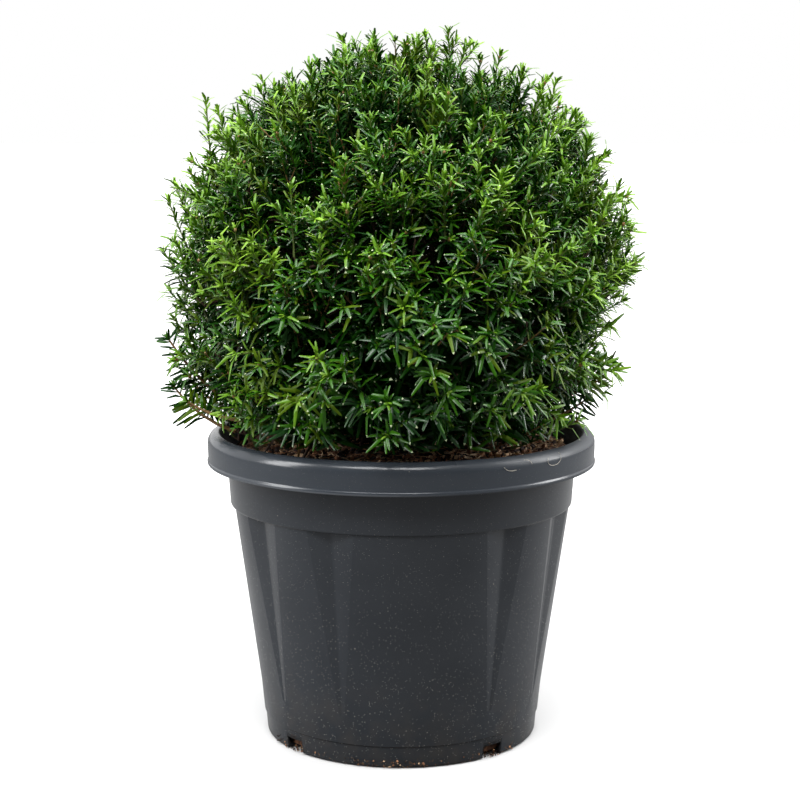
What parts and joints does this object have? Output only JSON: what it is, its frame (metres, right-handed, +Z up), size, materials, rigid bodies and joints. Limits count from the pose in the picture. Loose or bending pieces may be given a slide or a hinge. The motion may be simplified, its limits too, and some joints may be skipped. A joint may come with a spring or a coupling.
{
  "type": "potted yew shrub",
  "caption": "Evergreen yew clipped to a dense ball of short needled shoots, growing in a round tapered black plastic nursery pot with a deep rim, shallow flutes and drain notches.",
  "frame": {"origin": "middle of the pot's flat underside, on the pot's turning axis", "axes": "+Z up along the trunk and the pot's axis; -Y is the front, the side with a plain panel between the pot's flutes; +X to the viewer's right"},
  "size_m": [0.342, 0.3389, 0.5081],
  "materials": {
    "black_plastic": "satin charcoal moulded plastic, faintly bluish, dusty",
    "compost": "rough brown bark and coir compost",
    "bark": "flaking red-brown bark",
    "needles": "leathery dark green needles, yellow-green at the tips"
  },
  "bodies": {
    "root": {"pot": "black_plastic", "soil": "compost", "stem": "bark", "upper_bough_1": "bark", "upper_bough_2": "bark", "upper_bough_3": "bark", "upper_bough_4": "bark", "upper_bough_5": "bark", "lower_bough_1": "bark", "lower_bough_2": "bark", "lower_bough_3": "bark", "lower_bough_4": "bark", "lower_bough_5": "bark", "lower_bough_6": "bark", "crown_top": "needles", "upper_mass_1": "needles", "upper_mass_2": "needles", "upper_mass_3": "needles", "upper_mass_4": "needles", "upper_mass_5": "needles", "lower_mass_1": "needles", "lower_mass_2": "needles", "lower_mass_3": "needles", "lower_mass_4": "needles", "lower_mass_5": "needles", "lower_mass_6": "needles"}
  },
  "joints": []
}
